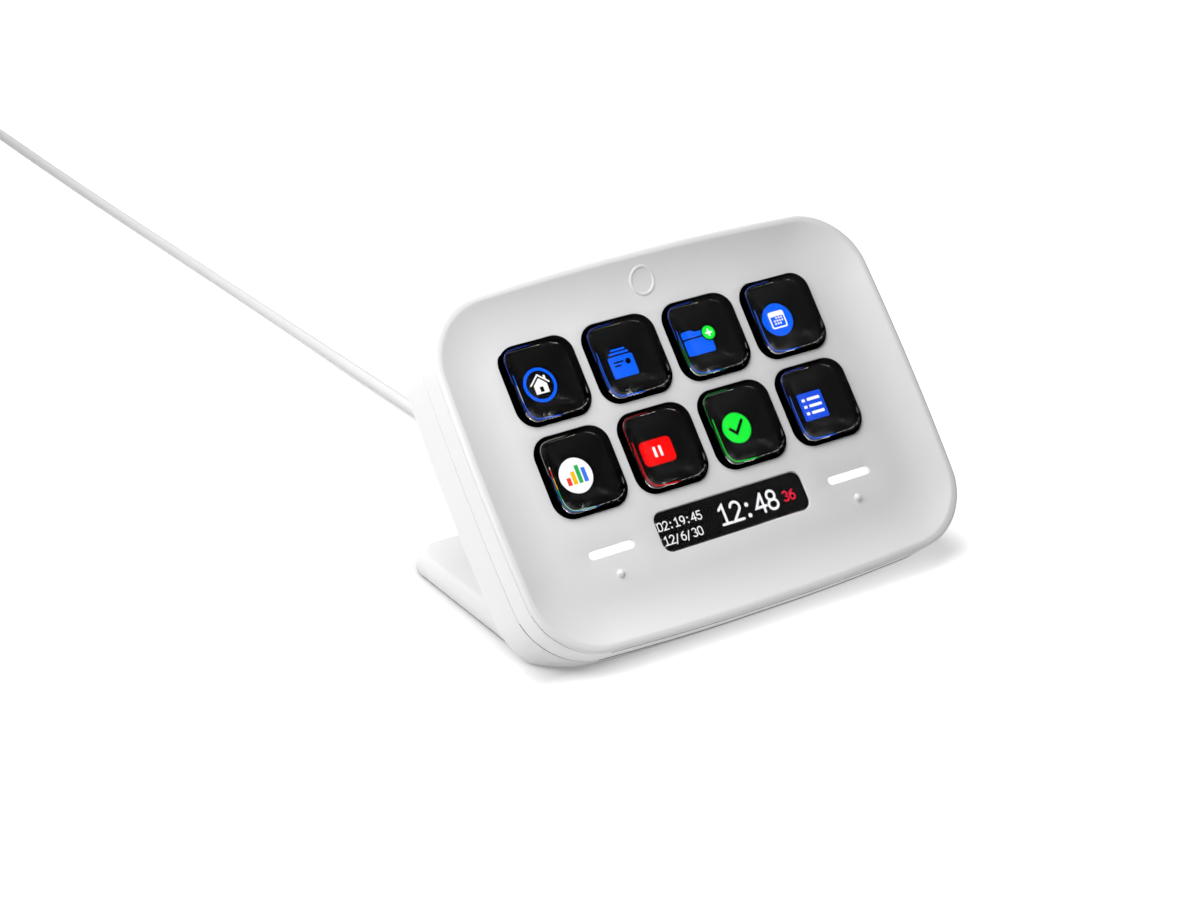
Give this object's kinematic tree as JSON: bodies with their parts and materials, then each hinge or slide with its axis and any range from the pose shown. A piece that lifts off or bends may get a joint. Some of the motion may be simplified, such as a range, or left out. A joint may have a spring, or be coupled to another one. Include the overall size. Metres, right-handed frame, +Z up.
{
  "type": "macro keypad",
  "caption": "Desktop macro keypad: clear display keys, a status strip and touch points in a dished white case that leans back on a flat foot, with a captive cable.",
  "frame": {"origin": "on the desk under the middle of the box round the case and the foot, cord left out", "axes": "+Z up, front with the keys toward -Y and leaned back, +X to the right seen from the front"},
  "size_m": [0.111, 0.3976, 0.0646],
  "materials": {
    "case_plastic": "satin",
    "key_plastic": "clear, polished",
    "smoked_lens": "smoked, polished",
    "light_guide": "milky",
    "steel": "zinc plated",
    "pad_rubber": "matte",
    "mat_rubber": "matte silicone",
    "circuit_film": "polyimide film",
    "display_glass": "polished",
    "tray_metal": "plain sheet",
    "inner_plastic": "as moulded",
    "board_laminate": "solder mask",
    "chip_epoxy": "moulded",
    "connector_plastic": "as moulded",
    "led_epoxy": "moulded",
    "cable_jacket": "matte, flexible",
    "plug_plastic": "satin",
    "plug_steel": "nickel plated"
  },
  "bodies": {
    "housing": {"front_cover": "case_plastic", "side_frame": "case_plastic", "rear_shell": "case_plastic", "foot": "case_plastic", "foot_weight": "steel", "foot_pad": "pad_rubber", "front_pad": "pad_rubber", "key_mat": "mat_rubber", "key_circuit": "circuit_film", "lcd_panel": "display_glass", "lcd_tray": "tray_metal", "chassis": "inner_plastic", "strip_lens": "smoked_lens", "strip_display": "display_glass", "light_guides": "light_guide", "touch_board": "board_laminate", "touch_leds": "led_epoxy", "touch_pads": "pad_rubber", "main_board": "board_laminate", "processor": "chip_epoxy", "memory_chips": "chip_epoxy", "power_parts": "chip_epoxy", "display_ribbon": "circuit_film", "ribbon_connector": "connector_plastic", "cable_header": "connector_plastic", "case_screws": "steel", "board_screws": "steel", "foot_screws": "steel", "strain_relief": "cable_jacket", "cable": "cable_jacket", "cable_coil": "cable_jacket", "cable_tail": "cable_jacket", "plug_body": "plug_plastic", "plug_shell": "plug_steel"},
    "key_1": {"key_cap_1": "key_plastic"},
    "key_2": {"key_cap_2": "key_plastic"},
    "key_3": {"key_cap_3": "key_plastic"},
    "key_4": {"key_cap_4": "key_plastic"},
    "key_5": {"key_cap_5": "key_plastic"},
    "key_6": {"key_cap_6": "key_plastic"},
    "key_7": {"key_cap_7": "key_plastic"},
    "key_8": {"key_cap_8": "key_plastic"}
  },
  "joints": [
    {"name": "key_1_press", "type": "slide", "parent": "housing", "child": "key_1", "axis": [0, 0.7513, -0.66], "range_m": [0, 0.0008], "stiffness_N_per_m": 600, "springref_m": -0.0003},
    {"name": "key_2_press", "type": "slide", "parent": "housing", "child": "key_2", "axis": [0, 0.7513, -0.66], "range_m": [0, 0.0008], "stiffness_N_per_m": 600, "springref_m": -0.0003},
    {"name": "key_3_press", "type": "slide", "parent": "housing", "child": "key_3", "axis": [0, 0.7513, -0.66], "range_m": [0, 0.0008], "stiffness_N_per_m": 600, "springref_m": -0.0003},
    {"name": "key_4_press", "type": "slide", "parent": "housing", "child": "key_4", "axis": [0, 0.7513, -0.66], "range_m": [0, 0.0008], "stiffness_N_per_m": 600, "springref_m": -0.0003},
    {"name": "key_5_press", "type": "slide", "parent": "housing", "child": "key_5", "axis": [0, 0.7513, -0.66], "range_m": [0, 0.0008], "stiffness_N_per_m": 600, "springref_m": -0.0003},
    {"name": "key_6_press", "type": "slide", "parent": "housing", "child": "key_6", "axis": [0, 0.7513, -0.66], "range_m": [0, 0.0008], "stiffness_N_per_m": 600, "springref_m": -0.0003},
    {"name": "key_7_press", "type": "slide", "parent": "housing", "child": "key_7", "axis": [0, 0.7513, -0.66], "range_m": [0, 0.0008], "stiffness_N_per_m": 600, "springref_m": -0.0003},
    {"name": "key_8_press", "type": "slide", "parent": "housing", "child": "key_8", "axis": [0, 0.7513, -0.66], "range_m": [0, 0.0008], "stiffness_N_per_m": 600, "springref_m": -0.0003}
  ]
}
